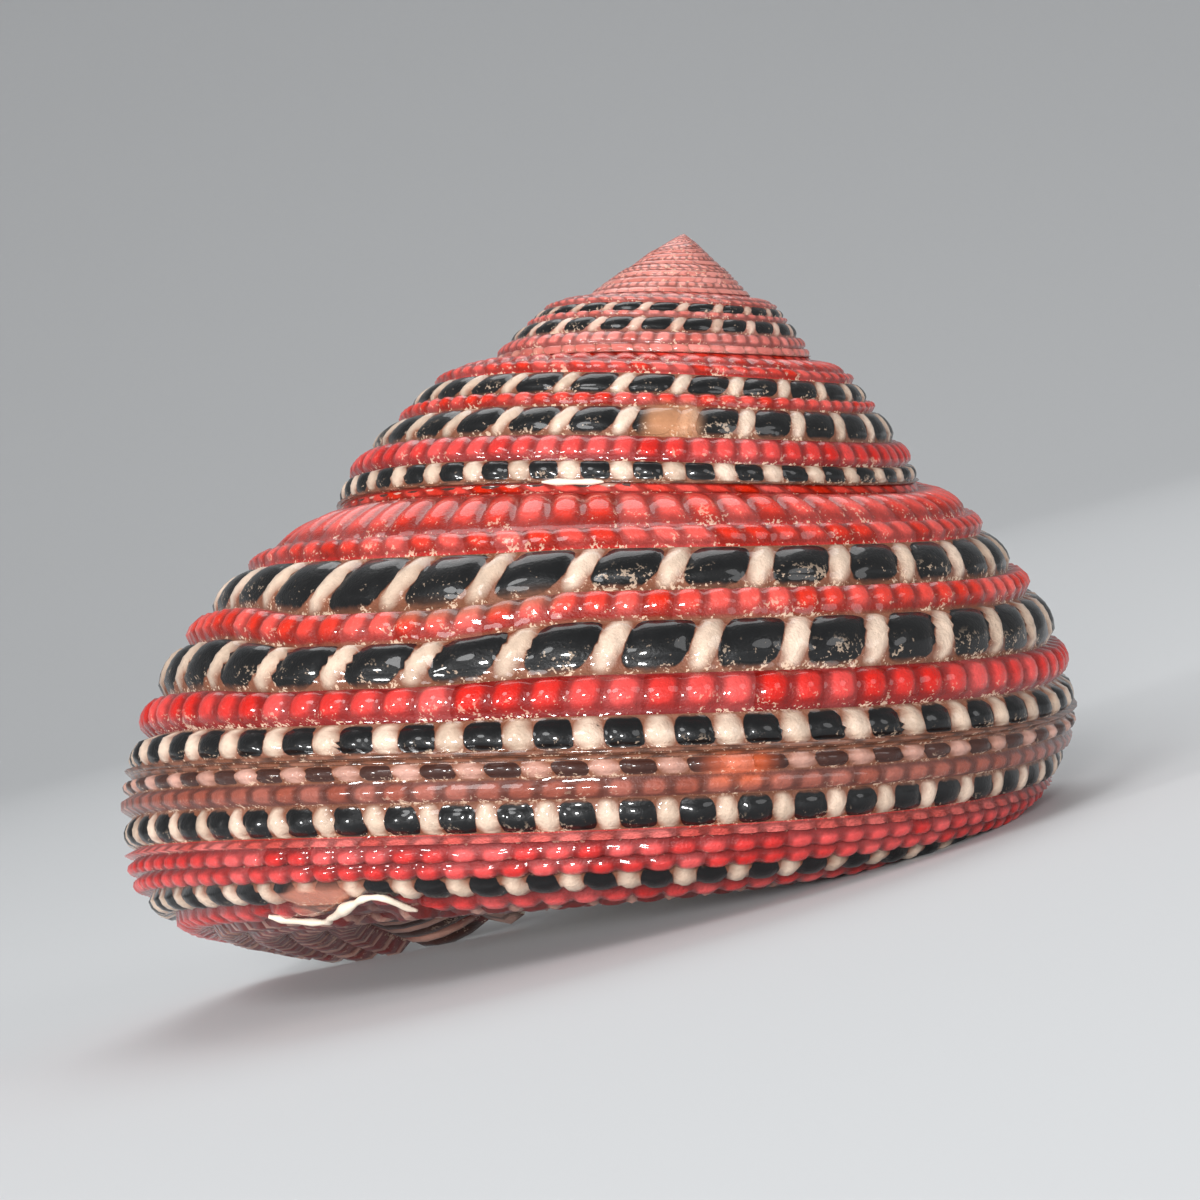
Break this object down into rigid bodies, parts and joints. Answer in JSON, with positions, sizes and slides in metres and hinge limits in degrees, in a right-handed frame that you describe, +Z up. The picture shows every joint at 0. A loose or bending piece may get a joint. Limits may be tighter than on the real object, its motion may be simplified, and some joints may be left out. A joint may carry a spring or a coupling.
{
  "type": "sea snail shell",
  "caption": "Low conical spiral sea shell with beaded cords, a narrow navel and an open mouth, lying on its base.",
  "frame": {"origin": "middle of the bounding box, on the floor the shell lies on", "axes": "+Z up from the floor; +X along the greatest width, towards the side the spire leans to; +Y towards the side of the mouth"},
  "size_m": [0.0222, 0.0204, 0.0147],
  "materials": {
    "strawberry_shell": "glossy"
  },
  "bodies": {
    "root": {"shell": "strawberry_shell"}
  },
  "joints": []
}
